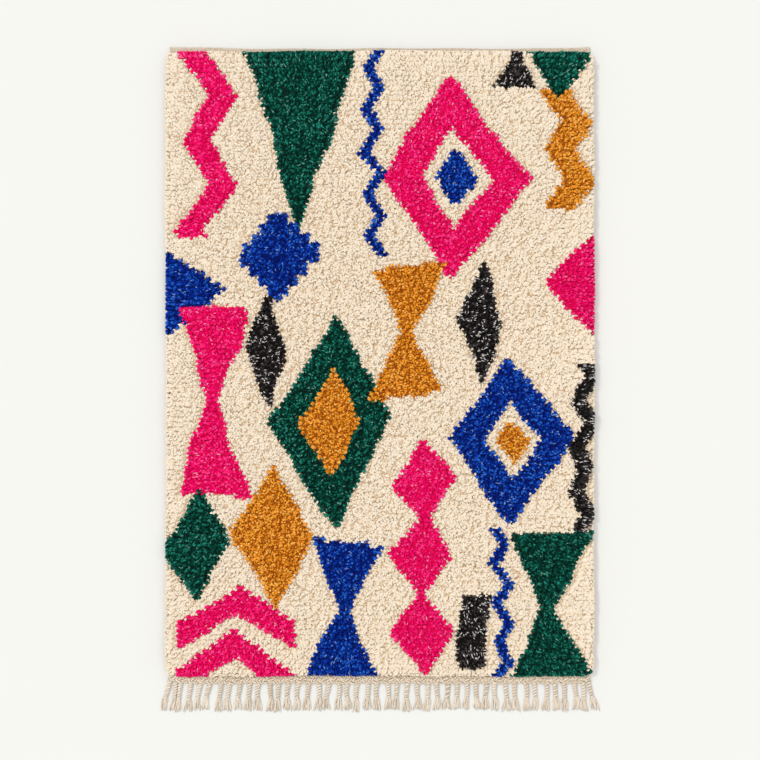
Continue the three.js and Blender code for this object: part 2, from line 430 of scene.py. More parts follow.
@dataclass(frozen=True)
class GroundFinish:
    """The finish of the low tufts of the knotted ground, with painted shade in the gaps between
    them.

    Points carry the tufts' colour, darkened by painted shade, whose alpha narrows the gaps, and the
    gaps' colour, which is deeper painted shade.
    """

    name: str = "ground_wool"
    tufts_to_metre: float = 150.0
    tuft_rim: tuple[float, float] = (0.33, 0.47)
    tuft_bump: float = 0.7
    tuft_height: float = 0.0012
    fibre_scale: float = 420
    fibre_detail: float = 3.0
    fibre_weight: float = 0.5
    mottle: Colour = (0.92, 0.90, 0.87)
    roughness: float = 0.95
    gloss: float = 0.1

    def material(self) -> bpy.types.Material:
        """Makes the material.

        Returns:
            The finished material.
        """
        bench = NodeBench(self.name)
        dye, gap = bench.attribute("dye"), bench.attribute("gap")
        cells = bench.pattern(
            "ShaderNodeTexVoronoi", {"Scale": self.tufts_to_metre}, feature="DISTANCE_TO_EDGE",
        )
        fibre = bench.noise(self.fibre_scale, self.fibre_detail)
        uneven = bench.math("MULTIPLY_ADD", fibre, self.fibre_weight, cells.outputs["Distance"])
        narrowed = bench.math("ADD", uneven, dye.outputs["Alpha"])
        # Painted shade: the cells' edges take the gap colour, so dark lines lie between the
        # ground's tufts.
        tuft = bench.ramp(narrowed, *zip(self.tuft_rim, ((0.0, 0.0, 0.0), WHITE)))
        colour = bench.blend("MIX", tuft, gap.outputs["Color"], dye.outputs["Color"])
        bench.bump(tuft, self.tuft_bump, self.tuft_height)
        return bench.dress(
            bench.mottle(colour, fibre, self.mottle),
            Roughness=self.roughness, Specular_IOR_Level=self.gloss,
        )


# Each yarn's root colour is its painted shade, which darkens its strands towards their roots and
# the ground between them.
PILE_FINISHES = {
    Yarn.CREAM: WoolFinish(
        "cream_wool",
        rgb(212, 192, 164), rgb(220, 206, 185), rgb(216, 204, 186), rgb(220, 210, 194),
        root=(0.64, 0.45, 0.25), fibre_bump=0.2, mottle=(0.94, 1.01),
    ),
    Yarn.PINK: WoolFinish(
        "pink_wool",
        rgb(216, 2, 73), rgb(244, 6, 105), rgb(250, 76, 146), rgb(250, 160, 188),
        root=(0.66, 0.2, 0.45), carded=0.02,
    ),
    Yarn.GREEN: WoolFinish(
        "green_wool",
        rgb(2, 34, 27), rgb(4, 69, 56), rgb(38, 128, 110), rgb(100, 152, 138),
        root=(0.12, 0.22, 0.24), carded=0.04,
    ),
    Yarn.BLUE: WoolFinish(
        "blue_wool",
        rgb(2, 18, 86), rgb(3, 47, 147), rgb(46, 106, 210), rgb(122, 148, 200),
        root=(0.12, 0.20, 0.33), carded=0.04,
    ),
    Yarn.OCHRE: WoolFinish(
        "ochre_wool",
        rgb(162, 82, 10), rgb(231, 145, 40), rgb(244, 178, 86), rgb(240, 196, 130),
        root=(0.40, 0.27, 0.14),
    ),
    Yarn.CHARCOAL: WoolFinish(
        "charcoal_wool",
        rgb(18, 16, 16), rgb(38, 34, 34), rgb(80, 76, 75), rgb(200, 196, 192),
        root=(0.22, 0.20, 0.20), carded=0.20,
    ),
}
PLAIN_HEADING_FINISH = WoolFinish(
    "plain_heading_wool",
    rgb(146, 124, 100), rgb(196, 181, 162), rgb(214, 203, 187), rgb(230, 222, 208),
    fibre_scale=900,
)
FRINGED_HEADING_FINISH = WoolFinish(
    "fringed_heading_wool",
    rgb(180, 158, 130), rgb(222, 208, 187), rgb(234, 223, 207), rgb(242, 235, 222),
    fibre_scale=900,
)
FRINGE_FINISH = WoolFinish(
    "fringe_wool",
    rgb(176, 156, 130), rgb(212, 199, 181), rgb(228, 219, 204), rgb(240, 234, 223),
    fibre_scale=900,
)


@dataclass(frozen=True)
class Motif:
    """A knotted figure: its yarn, its middle, and half its width and height."""

    yarn: Yarn
    x: float
    y: float
    half_width: float
    half_height: float

    def covers(self, x: np.ndarray, y: np.ndarray) -> np.ndarray:
        """Says which knots belong to the figure."""
        raise NotImplementedError

    def shares(self, x: np.ndarray, y: np.ndarray) -> tuple[np.ndarray, np.ndarray]:
        """Gives the knots' places from the middle, as shares of half the width and height."""
        return (x - self.x) / self.half_width, (y - self.y) / self.half_height


class Bar(Motif):
    """A plain upright bar."""

    def covers(self, x: np.ndarray, y: np.ndarray) -> np.ndarray:
        """Says which knots belong to the figure."""
        across, along = self.shares(x, y)
        return (np.abs(across) < 1) & (np.abs(along) < 1)


class Lozenge(Motif):
    """A lozenge that stands on its point."""

    def covers(self, x: np.ndarray, y: np.ndarray) -> np.ndarray:
        """Says which knots belong to the figure."""
        across, along = self.shares(x, y)
        return np.abs(across) + np.abs(along) < 1


@dataclass(frozen=True)
class SteppedLozenge(Motif):
    """A lozenge whose sides climb in steps."""

    steps: int = 4

    def covers(self, x: np.ndarray, y: np.ndarray) -> np.ndarray:
        """Says which knots belong to the figure."""
        across, along = self.shares(x, y)
        return np.abs(across) < 1 - np.floor(self.steps * np.abs(along)) / self.steps


@dataclass(frozen=True)
class Hourglass(Motif):
    """Two teeth that meet point to point, in a waist that is a share of the width."""

    waist: float = 0.13

    def covers(self, x: np.ndarray, y: np.ndarray) -> np.ndarray:
        """Says which knots belong to the figure."""
        across, along = self.shares(x, y)
        return (np.abs(along) < 1) & (np.abs(across) < lerp(self.waist, 1, np.abs(along)))


@dataclass(frozen=True)
class Tooth(Motif):
    """A tooth with a flat base, whose point looks along or across the rug."""

    point: Way = Way.UP

    def covers(self, x: np.ndarray, y: np.ndarray) -> np.ndarray:
        """Says which knots belong to the figure.

        Args:
            x: each knot's place across the rug.
            y: each knot's place along the rug.

        Returns:
            True for each knot of the figure.
        """
        across, along = self.shares(x, y)
        step_across, step_along = self.point.value
        forward = step_across * across + step_along * along
        sideways = step_along * across - step_across * along
        return (np.abs(forward) < 1) & (np.abs(sideways) < (1 - forward) / 2)


@dataclass(frozen=True)
class Zigzag(Motif):
    """A band that goes from side to side as it runs up the rug."""

    wander: float = 0.02
    period: float = 0.12

    def covers(self, x: np.ndarray, y: np.ndarray) -> np.ndarray:
        """Says which knots belong to the figure."""
        middle = self.x + self.wander * saw((y - self.y) / self.period)
        return (np.abs(x - middle) < self.half_width) & (np.abs(y - self.y) < self.half_height)


@dataclass(frozen=True)
class Chevron(Motif):
    """A band bent to a point at its middle."""

    rise: float = 0.115

    def covers(self, x: np.ndarray, y: np.ndarray) -> np.ndarray:
        """Says which knots belong to the figure."""
        across = np.abs(x - self.x) / self.half_width
        return (across < 1) & (np.abs(y - self.y + self.rise * (across - 0.5)) < self.half_height)


@dataclass(frozen=True)
class MotifSheet:
    """The free scatter of figures on the cream ground, later ones over earlier ones.

    The drifts bend the figures a little: each is a wave's height and length, and how its phase
    goes with the figure's place.
    """

    side_drifts: tuple[Wave, ...] = ((0.007, 0.52, 20), (0.004, 0.19, 50))
    end_drifts: tuple[Wave, ...] = ((0.009, 0.46, 17),)
    motifs: tuple[Motif, ...] = (
        Zigzag(Yarn.PINK, -0.484, 0.665, 0.038, 0.272, wander=0.044, period=0.250),
        Tooth(Yarn.GREEN, -0.225, 0.680, 0.160, 0.258, point=Way.DOWN),
        Lozenge(Yarn.PINK, 0.208, 0.566, 0.208, 0.288),
        Lozenge(Yarn.CREAM, 0.208, 0.566, 0.104, 0.144),
        Lozenge(Yarn.BLUE, 0.208, 0.566, 0.060, 0.084),
        Zigzag(Yarn.BLUE, -0.018, 0.633, 0.0135, 0.303, wander=0.020, period=0.120),
        Zigzag(Yarn.OCHRE, 0.530, 0.640, 0.042, 0.172, wander=0.030, period=0.160),
        Tooth(Yarn.GREEN, 0.515, 0.860, 0.100, 0.078, point=Way.DOWN),
        Tooth(Yarn.CHARCOAL, 0.375, 0.880, 0.062, 0.058),
        Tooth(Yarn.BLUE, -0.530, 0.245, 0.090, 0.132, point=Way.RIGHT),
        SteppedLozenge(Yarn.BLUE, -0.290, 0.355, 0.106, 0.122),
        Hourglass(Yarn.PINK, -0.470, -0.070, 0.100, 0.266),
        Lozenge(Yarn.CHARCOAL, -0.316, 0.078, 0.056, 0.164),
        Lozenge(Yarn.GREEN, -0.135, -0.120, 0.172, 0.302),
        Lozenge(Yarn.OCHRE, -0.135, -0.120, 0.086, 0.152),
        Hourglass(Yarn.OCHRE, 0.078, 0.132, 0.104, 0.184),
        Lozenge(Yarn.CHARCOAL, 0.290, 0.165, 0.060, 0.176),
        Tooth(Yarn.PINK, 0.542, 0.262, 0.074, 0.156, point=Way.LEFT),
        Lozenge(Yarn.BLUE, 0.368, -0.170, 0.176, 0.240),
        Lozenge(Yarn.CREAM, 0.368, -0.170, 0.082, 0.112),
        Lozenge(Yarn.OCHRE, 0.368, -0.170, 0.046, 0.062),
        Zigzag(Yarn.CHARCOAL, 0.572, -0.200, 0.020, 0.236, wander=0.015, period=0.130),
        Lozenge(Yarn.PINK, 0.120, -0.290, 0.089, 0.120),
        Lozenge(Yarn.PINK, 0.120, -0.500, 0.089, 0.120),
        Lozenge(Yarn.PINK, 0.120, -0.710, 0.089, 0.120),
        Lozenge(Yarn.OCHRE, -0.298, -0.440, 0.118, 0.200),
        Lozenge(Yarn.GREEN, -0.515, -0.475, 0.092, 0.160),
        Chevron(Yarn.PINK, -0.400, -0.672, 0.164, 0.038),
        Chevron(Yarn.PINK, -0.400, -0.806, 0.164, 0.038),
        Hourglass(Yarn.BLUE, -0.100, -0.650, 0.100, 0.192),
        Bar(Yarn.CHARCOAL, 0.262, -0.720, 0.038, 0.102),
        Zigzag(Yarn.BLUE, 0.342, -0.633, 0.0135, 0.213, wander=0.018, period=0.110),
        Hourglass(Yarn.GREEN, 0.480, -0.640, 0.118, 0.210),
    )

    def yarn_at(self, x: np.ndarray, y: np.ndarray) -> np.ndarray:
        """Says which yarn each knot is tied in.

        Args:
            x: each knot's place across the rug.
            y: each knot's place along the rug.

        Returns:
            The yarn's number for each knot.
        """
        yarns = np.full(x.shape, Yarn.CREAM.value)
        for motif in self.motifs:
            side_drift = sum(wave(y, *size, motif.x * pace) for *size, pace in self.side_drifts)
            end_drift = sum(wave(x, *size, motif.y * pace) for *size, pace in self.end_drifts)
            yarns[motif.covers(x + side_drift, y + end_drift)] = motif.yarn.value
        return yarns


@dataclass(frozen=True)
class RugPlan:
    """The rug's outline as it lies: where the pile, the headings and the fringe stop."""

    side: float = 0.602
    top_end: float = 0.941
    bottom_end: float = -0.864
    top_heading: float = 0.014
    bottom_heading: float = 0.023
    top_dip: float = 0.005
    top_squareness: int = 6
    edge_stations: int = 400
    corner_pull: float = 0.009
    corner_reach: float = 0.022
    side_waves: tuple[Wave, ...] = ((0.0012, 1.24, 1), (0.0008, 0.31, 2))
    top_waves: tuple[Wave, ...] = ((0.0018, 0.94, 1.2), (0.001, 0.27, 0.4))
    bottom_waves: tuple[Wave, ...] = ((0.0011, 0.83, 2.1), (0.0008, 0.23, 0.9))
    top_outer_waves: tuple[Wave, ...] = ((0.0008, 0.64, 0.7), (0.0009, 0.23, 2))
    bottom_outer_waves: tuple[Wave, ...] = ((0.0008, 0.31, 1),)

    def shift(self) -> np.ndarray:
        """Reads from the solids' boxes how far the plan's origin lies from the frame's.

        Returns:
            The shift along x, y and z.
        """
        pile_low, pile_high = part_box("pile_field")
        _, heading_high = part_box("heading_top")
        across = np.linspace(-1, 1, self.edge_stations) * (self.side - self.corner_pull)
        furthest = self.top_outer(across).max()
        return np.array([(pile_low[0] + pile_high[0]) / 2, heading_high[1] - furthest, 0])

    @property
    def pile_top(self) -> float:
        """Where the pile stops at the plain heading."""
        return self.top_end - self.top_heading

    @property
    def pile_bottom(self) -> float:
        """Where the pile stops at the fringed heading."""
        return self.bottom_end + self.bottom_heading

    def pull(self, distance: np.ndarray) -> np.ndarray:
        """Gives how far the edge is drawn in at a distance from a corner."""
        return self.corner_pull * np.exp(-np.maximum(distance, 0) / self.corner_reach)

    def side_edge(self, sign: int, y: np.ndarray) -> np.ndarray:
        """Gives the x of one side of the pile.

        Args:
            sign: -1 for the left side and 1 for the right.
            y: places along the rug.

        Returns:
            The side's x at each place.
        """
        uneven = sum(wave(y, *size, phase * sign) for *size, phase in self.side_waves)
        pull = self.pull(np.minimum(self.pile_top - y, y - self.pile_bottom))
        return sign * (self.side + uneven - pull)

    def top_edge(self, x: np.ndarray) -> np.ndarray:
        """Gives the y at which the pile meets the plain heading."""
        return self.pile_top + ripple(x, self.top_waves) - self.pull(self.side - np.abs(x))

    def bottom_edge(self, x: np.ndarray) -> np.ndarray:
        """Gives the y at which the pile meets the fringed heading."""
        return self.pile_bottom + ripple(x, self.bottom_waves) + self.pull(self.side - np.abs(x))

    def top_outer(self, x: np.ndarray) -> np.ndarray:
        """Gives the y of the plain heading's outer edge."""
        dip = self.top_dip * (1 - np.abs(x / self.side) ** self.top_squareness)
        return self.top_end + ripple(x, self.top_outer_waves) - dip

    def bottom_outer(self, x: np.ndarray) -> np.ndarray:
        """Gives the y of the fringed heading's outer edge."""
        uneven = ripple(x, self.bottom_outer_waves)
        return self.bottom_end + uneven + self.pull(self.side - np.abs(x))

    def edge_gaps(self, x: np.ndarray, y: np.ndarray) -> np.ndarray:
        """Gives how far inside the pile places are.

        Args:
            x: places across the rug.
            y: places along the rug.

        Returns:
            The distances to the left, right, fringed and plain edges, one row each.
        """
        return np.stack([
            x - self.side_edge(-1, y), self.side_edge(1, y) - x,
            y - self.bottom_edge(x), self.top_edge(x) - y,
        ])

    def place(self, across: np.ndarray, along: np.ndarray) -> tuple[np.ndarray, np.ndarray]:
        """Lays out places given as shares of the pile's width and length.

        Args:
            across: shares from the left side, 0 to 1.
            along: shares from the fringed end, 0 to 1.

        Returns:
            The x and y of each place.
        """
        straight_x = lerp(-self.side, self.side, across)
        straight_y = lerp(self.pile_bottom, self.pile_top, along)
        x = lerp(self.side_edge(-1, straight_y), self.side_edge(1, straight_y), across)
        y = lerp(self.bottom_edge(straight_x), self.top_edge(straight_x), along)
        return x, y


@dataclass
class MeshStore:
    """Collects points, faces and point values, and makes one mesh piece of them.

    The last three fields shade the core of twisted strands: the light at the core itself, and how
    it grows with the distance from it.
    """

    plan: RugPlan
    points: list[np.ndarray] = field(default_factory=list)
    faces: list[np.ndarray] = field(default_factory=list)
    values: dict[str, list[np.ndarray]] = field(default_factory=dict)
    count: int = 0
    core_light: float = 0.25
    core_gain: float = 2.2
    core_start: float = 0.9

    def add(self, points: np.ndarray, faces: list[np.ndarray], **values: np.ndarray) -> None:
        """Adds a closed body.

        Args:
            points: its points, one row each.
            faces: arrays of its faces, each with one number of corners.
            values: values for each point, by name, with one or four columns.
        """
        self.points.append(points)
        self.faces.extend(face + self.count for face in faces)
        for name, value in values.items():
            self.values.setdefault(name, []).append(value)
        self.count += len(points)

    def add_strands(
        self, centres: np.ndarray, across: np.ndarray, widths: np.ndarray, heights: np.ndarray,
        sides: int, tone: np.ndarray, along: np.ndarray,
        core: np.ndarray | None = None, flatness: float = 1.0,
    ) -> None:
        """Adds closed strands of few sides, blunt at the root and drawn to a point at the tip.

        Args:
            centres: the axis points, one row for each strand: its rings, then its point.
            across: each strand's level direction across.
            widths: half the width of each ring.
            heights: half the height of each ring.
            sides: how many sides a ring has.
            tone: each strand's dye tone.
            along: the painted light at each axis point, low at a strand's root and 1 for none of
                the painted shade.
            core: the axis that twisted strands go round, where the light is least.
            flatness: how high twisted strands lie, as a share of a round cord's height.
        """
        strands, stations = centres.shape[:2]
        rings = stations - 1
        side = unit(np.repeat(across[:, None, :], stations, axis=1))
        forward = unit(np.gradient(centres, axis=1))
        over = unit(np.cross(side, forward))
        side = unit(np.cross(forward, over))
        angle = FULL_TURN * np.arange(sides) / sides + math.pi / 2
        sideways, upward = (turn(angle)[None, None, :, None] for turn in (np.cos, np.sin))
        ring = (
            centres[:, :rings, None, :]
            + (widths[:, :, None, None] * sideways) * side[:, :rings, None, :]
            + (heights[:, :, None, None] * upward) * over[:, :rings, None, :]
        )
        points = np.concatenate([ring.reshape(strands, -1, 3), centres[:, -1:, :]], axis=1)
        number = np.arange(strands * (rings * sides + 1)).reshape(strands, -1)
        tip = np.repeat(number[:, -1:], sides, axis=1)
        rows = number[:, :-1].reshape(strands, rings, sides)
        after = np.roll(rows, -1, axis=2)
        walls = np.stack([rows[:, :-1], rows[:, 1:], after[:, 1:], after[:, :-1]], axis=-1)
        point = np.stack([rows[:, -1], tip, after[:, -1]], axis=-1)
        # Painted shade: each ring takes its axis point's painted light, and twisted strands are
        # painted darker towards their core.
        place = np.repeat(along[:, :rings, None], sides, axis=2)
        if core is not None:
            away = (ring - core[:, :rings, None, :]) / np.array([1, 1, flatness])
            away = np.linalg.norm(away, axis=-1)
            away = self.core_gain * away / away.max(axis=(1, 2), keepdims=True)
            place = place * lerp(self.core_light, 1.0, np.clip(away - self.core_start, 0, 1))
        place = np.concatenate([place.reshape(strands, -1), along[:, -1:]], axis=1)
        self.add(
            points.reshape(-1, 3),
            [walls.reshape(-1, 4), point.reshape(-1, 3), rows[:, 0]],
            tone=np.repeat(tone, rings * sides + 1),
            along=place.reshape(-1),
            strand=np.tile(np.append(np.tile(np.round(np.cos(angle), 3), rings), 0), strands),
        )

    def piece(
        self, name: str, material: bpy.types.Material, slot: str, smooth: bool = True,
    ) -> bpy.types.Object:
        """Makes the mesh piece, dresses it and fixes it to the rug.

        Args:
            name: the piece's name.
            material: its finish.
            slot: not used.
            smooth: whether its faces are shaded round.

        Returns:
            The piece.
        """
        points = np.concatenate(self.points) + self.plan.shift()
        corners = np.concatenate([face.reshape(-1) for face in self.faces])
        sizes = np.concatenate([np.full(len(face), face.shape[1]) for face in self.faces])
        starts = np.concatenate([[0], np.cumsum(sizes)[:-1]])
        mesh = bpy.data.meshes.new(name)
        mesh.vertices.add(len(points))
        mesh.vertices.foreach_set("co", points.astype(np.float32).reshape(-1))
        mesh.loops.add(len(corners))
        mesh.loops.foreach_set("vertex_index", corners.astype(np.int32))
        mesh.polygons.add(len(sizes))
        mesh.polygons.foreach_set("loop_start", starts.astype(np.int32))
        mesh.polygons.foreach_set("use_smooth", np.full(len(sizes), smooth))
        for label, parts in self.values.items():
            value = np.concatenate(parts).astype(np.float32)
            kind, key = ("FLOAT", "value") if value.ndim == 1 else ("FLOAT_COLOR", "color")
            layer = mesh.attributes.new(label, kind, "POINT")
            layer.data.foreach_set(key, value.reshape(-1))
        mesh.update(calc_edges=True)
        mesh.materials.append(material)
        piece = bpy.data.objects.new(name, mesh)
        bpy.context.scene.collection.objects.link(piece)
        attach(piece, "root")
        return piece


@dataclass
class PileField:
    """The knotted field: rows of knots, each of four strands that lean out from the rug's middle.

    Where two yarns meet beside each other, the later one in Yarn's list leads: its strands gather
    into a tooth that lies over the other's. Where they meet at a row, strands reach over in small
    teeth.
    """

    plan: RugPlan
    sheet: MotifSheet
    seed: int = 11

    # The rows and knots, and where a knot and its four strands stand in them, as shares.
    row_pitch: float = 0.0136
    knot_pitch: float = 0.0087
    row_stagger: float = 0.25
    knot_middle: tuple[float, float] = (0.4, 0.5)
    strands_in_row: tuple[float, ...] = (0.24, 0.58, 0.41, 0.77)
    strands_in_knot: tuple[float, ...] = (0.04, 0.28, 0.52, 0.78)
    rim_share: float = 0.002
    root_scatter: tuple[float, float] = (0.0012, 0.0014)

    # The ground under the strands, and how much painted shade darkens its tufts and the gaps
    # between them, as powers of the yarns' root shade.
    ground_height: float = 0.0180
    ground_scatter: float = 0.0010
    row_dip: float = 0.0006
    rim_columns: tuple[float, float] = (0.004, 0.009)
    ground_shade_depth: float = 0.45
    gap_shade_depth: float = 1.5
    cream_ground_shade_depth: float = 0.12
    cream_gap_narrowing: float = 0.09

    # How high the strands stand, how deep they start, and how far the pile falls at its rim.
    strand_height: float = 0.0208
    height_drift: float = 0.0009
    height_drift_length: float = 0.07
    height_scatter: tuple[float, float] = (-0.0012, 0.0010)
    root_depth: float = 0.0030
    rim_fall: float = 0.0095
    rim_width: float = 0.016
    rim_roundness: float = 1.6

    # Which way and how far they lean, in open pile and in the border along the rim.
    lean: float = 0.010
    comb: float = 0.006
    border: float = 0.080
    border_calm: float = 0.5
    wander: float = 0.0058
    tuft_wander: float = 0.8
    strand_wander: float = 0.55
    herding: float = 0.003
    herd_length: float = 0.09
    clumping: float = 0.0042
    clump_length: float = 0.036
    row_hold: float = 0.48
    shortest: float = 0.0110
    shortest_at_edge: float = 0.0065
    longest: float = 0.025

    # How far they reach over each edge, and how unevenly.
    rim_reach: float = 0.0060
    end_reach: float = -0.0008
    fringed_reach: float = 0.0012
    ragged: float = 0.0022
    fringed_ragged: float = 0.0056
    rim_knots: float = 0.8
    rim_slack: float = 0.0016

    # The teeth between two yarns.
    tooth: float = 0.0075
    tooth_spread: tuple[float, ...] = (0.36, -0.36, 0.13, -0.13)
    tooth_inset: tuple[float, ...] = (0.0010, 0.0020, 0.0045, 0.0065)
    tooth_reach: tuple[float, ...] = (0.65, 0.65, 1.0, 1.0)
    tooth_set: float = 0.0018
    tooth_gap: float = 0.0022
    tooth_freedom: float = 0.14
    tooth_lift: float = 0.0016
    tooth_root_lift: float = 0.0040
    hollow_root: float = 0.45
    hollow_tip: float = 0.7
    end_tooth_pitch: float = 0.0150
    end_tooth_lead: float = 0.0014
    end_tooth_swing: float = 0.0044
    end_tooth_yield: float = 0.0010

    # A strand's shape: its stations, how high they stand, how wide it is and how it bends.
    strand_sides: int = 3
    strand_width: float = 0.0032
    strand_thickness: float = 0.0014
    stations: tuple[float, ...] = (0.0, 0.60, 1.0)
    rises: tuple[float, ...] = (0.0, 0.96, 0.92)
    swell: tuple[float, float] = (0.85, 1.08)
    tooth_swell: tuple[float, float] = (1.5, 0.95)
    strand_sizes: tuple[float, float] = (0.75, 1.2)
    cream_breadth: float = 1.3
    cream_flatness: float = 0.86
    curl: float = 0.0014

    # The strands' tones, and the light at their roots and middles.
    abrash: float = 0.06
    abrash_length: float = 0.16
    tone_spread: float = 0.22
    cream_tone_spread: float = 0.14
    darkest_tone: float = 0.05
    root_light: float = 0.2
    cream_root_light: float = 0.40
    tooth_root_light: float = 0.62
    middle_light: float = 0.86

    # The pale strands carded into some yarns.
    carding: float = 1.3
    carding_length: float = 0.045
    fleck_lift: float = 0.0014
    fleck_reach: float = 1.25
    fleck_stray: float = 0.002
    fleck_slimness: float = 0.42

    # Where the cream pile is cut into three pieces.
    cream_cuts: tuple[float, float] = (-0.25, 0.34)

    def __post_init__(self) -> None:
        """Counts the rows and knots and starts the scatter."""
        self.rows = round((self.plan.pile_top - self.plan.pile_bottom) / self.row_pitch)
        self.knots = round(2 * self.plan.side / self.knot_pitch)
        self.random = np.random.default_rng(self.seed)

    def knot_grid(self) -> tuple[np.ndarray, ...]:
        """Lists the strands, four to a knot, in staggered rows.

        Returns:
            Each strand's row and knot number, and which of the knot's four it is.
        """
        counts = (self.rows, self.knots, len(self.strands_in_row))
        row, knot, strand = (part.reshape(-1) for part in np.indices(counts))
        return row, knot + self.row_stagger * (row % 2), strand

    def fall(self, x: np.ndarray, y: np.ndarray) -> np.ndarray:
        """Gives how far the pile drops towards its rim."""
        near = np.clip(1 - self.plan.edge_gaps(x, y).min(axis=0) / self.rim_width, 0, 1)
        return self.rim_fall * near**self.rim_roundness

    def loose_reach(self, root: np.ndarray) -> np.ndarray:
        """Works out which way and how far the strands lean in open pile.

        Args:
            root: each strand's root.

        Returns:
            The way from each root to its tip, seen from above.
        """
        x, y = root.T
        share = root / np.array([self.plan.side, self.plan.pile_top])
        outward = np.sign(share) * share**2
        outward /= np.maximum(1, np.linalg.norm(outward, axis=1, keepdims=True))
        border = 1 - self.plan.edge_gaps(x, y).min(axis=0) / self.border
        border = np.clip(border, 0, 1)[:, None]
        whole = len(self.strands_in_row)
        tuft = np.repeat(self.random.normal(0, 1, (len(x) // whole, 2)), whole, axis=0)
        single = self.random.normal(0, 1, root.shape)
        free = (self.tuft_wander * tuft + self.strand_wander * single) * self.wander
        free = free * (1 - self.border_calm * border)
        herd = drift_both(x, y, self.herd_length, (PileRun.HERD_ACROSS, PileRun.HERD_ALONG))
        clump = drift_both(x, y, self.clump_length, (PileRun.CLUMP_ACROSS, PileRun.CLUMP_ALONG))
        loose = (self.clumping * clump + free) * np.array([1.0, self.row_hold])
        return (self.lean + self.comb * border) * outward + self.herding * herd + loose

    def end_teeth(self, tie: np.ndarray, yarn: np.ndarray, root: np.ndarray) -> np.ndarray:
        """Works out how far strands reach over into a row of another yarn, in small teeth.

        Args:
            tie: the middle of each strand's knot.
            yarn: each strand's yarn.
            root: each strand's root.

        Returns:
            What each strand's reach gains along the rug.
        """
        row = np.array([[0.0, self.row_pitch]])
        above, below = (self.sheet.yarn_at(*(tie + step * row).T) for step in (1, -1))
        facing = (above != yarn).astype(int) - (below != yarn)
        leads = yarn > np.where(facing > 0, above, below)
        near = (root[:, 1] - tie[:, 1]) * facing > 0
        lead = self.end_tooth_lead + self.end_tooth_swing * saw(root[:, 0] / self.end_tooth_pitch)
        return facing * near * np.where(leads, lead, -self.end_tooth_yield)

    def side_teeth(
        self, tie: np.ndarray, yarn: np.ndarray, strand: np.ndarray, root: np.ndarray,
        reach: np.ndarray,
    ) -> tuple[np.ndarray, ...]:
        """Gathers the strands beside a knot of another yarn, so that each row ends in a tooth.

        Args:
            tie: the middle of each strand's knot.
            yarn: each strand's yarn.
            strand: which of its knot's four each strand is.
            root: each strand's root.
            reach: the way from each root to its tip.

        Returns:
            The roots, the reaches, which strands are gathered, and which of them lie over the
            other yarn.
        """
        column = np.array([[self.knot_pitch, 0.0]])
        right, left = (self.sheet.yarn_at(*(tie + step * column).T) for step in (1, -1))
        whole = len(self.strands_in_knot)
        faces_left = (left != yarn) & ((right == yarn) | (strand < whole // 2))
        facing = np.where(faces_left, -1, (right != yarn).astype(int))
        edge = facing != 0
        leads = edge & (yarn > np.where(facing > 0, right, left))
        rank = np.where(facing > 0, whole - 1 - strand, strand)
        spread, inset, length = (
            np.array(part)[rank] for part in (self.tooth_spread, self.tooth_inset, self.tooth_reach)
        )
        front = tie[:, 0] + facing * (0.5 * self.knot_pitch - self.tooth_set)
        gap_line = tie[:, 1] + np.where(root[:, 1] > tie[:, 1], 0.5, -0.5) * self.row_pitch
        tooth_root = np.stack([
            front - facing * inset, tie[:, 1] + spread * self.row_pitch,
        ], axis=1)
        tooth_tip = np.stack([front + facing * self.tooth * length, tie[:, 1]], axis=1)
        hollow_root = np.stack([root[:, 0], lerp(root[:, 1], gap_line, self.hollow_root)], axis=1)
        hollow_tip = np.stack([
            front - facing * self.tooth_gap, lerp(root[:, 1], gap_line, self.hollow_tip),
        ], axis=1)
        gathered = np.where(leads[:, None], tooth_root, hollow_root)
        tip = np.where(leads[:, None], tooth_tip, hollow_tip)
        moved = np.where(edge[:, None], gathered, root)
        led = tip - gathered + self.tooth_freedom * reach
        return moved, np.where(edge[:, None], led, reach), edge, leads

    def heights(self, x: np.ndarray, y: np.ndarray, leads: np.ndarray) -> np.ndarray:
        """Works out how high the strands stand, before the fall at the rim.

        Args:
            x: their roots' places across the rug.
            y: their roots' places along the rug.
            leads: which of them lie over another yarn.

        Returns:
            Each strand's height.
        """
        uneven = self.height_drift * drift(x, y, self.height_drift_length, PileRun.HEIGHT)
        height = self.strand_height + uneven + self.tooth_lift * leads
        return height + self.random.uniform(*self.height_scatter, len(x))

    def held(self, x: np.ndarray, y: np.ndarray, reach: np.ndarray, edge: np.ndarray) -> np.ndarray:
        """Keeps the strands within their lengths and within reach of the pile's edges.

        Args:
            x: their roots' places across the rug.
            y: their roots' places along the rug.
            reach: the way from each root to its tip.
            edge: which of them are gathered beside another yarn.

        Returns:
            The way from each root to its tip, as it is kept.
        """
        length = np.linalg.norm(reach, axis=1)
        kept = np.clip(length, np.where(edge, self.shortest_at_edge, self.shortest), self.longest)
        reach = reach * (kept / np.maximum(length, TINY))[:, None]
        sides = (
            ((-1, 0), self.rim_reach, self.ragged),
            ((1, 0), self.rim_reach, self.ragged),
            ((0, -1), self.fringed_reach, self.fringed_ragged),
            ((0, 1), self.end_reach, self.ragged),
        )
        for gap, (way, limit, uneven) in zip(self.plan.edge_gaps(x, y), sides):
            normal = np.array(way)
            furthest = gap + limit - uneven * self.random.uniform(0, 1, len(x)) ** 2
            at_rim = gap < self.rim_knots * self.knot_pitch
            nearest = np.where(at_rim, furthest - self.rim_slack, -1)
            out = reach @ normal
            reach = reach + (np.clip(out, nearest, furthest) - out)[:, None] * normal
        return reach

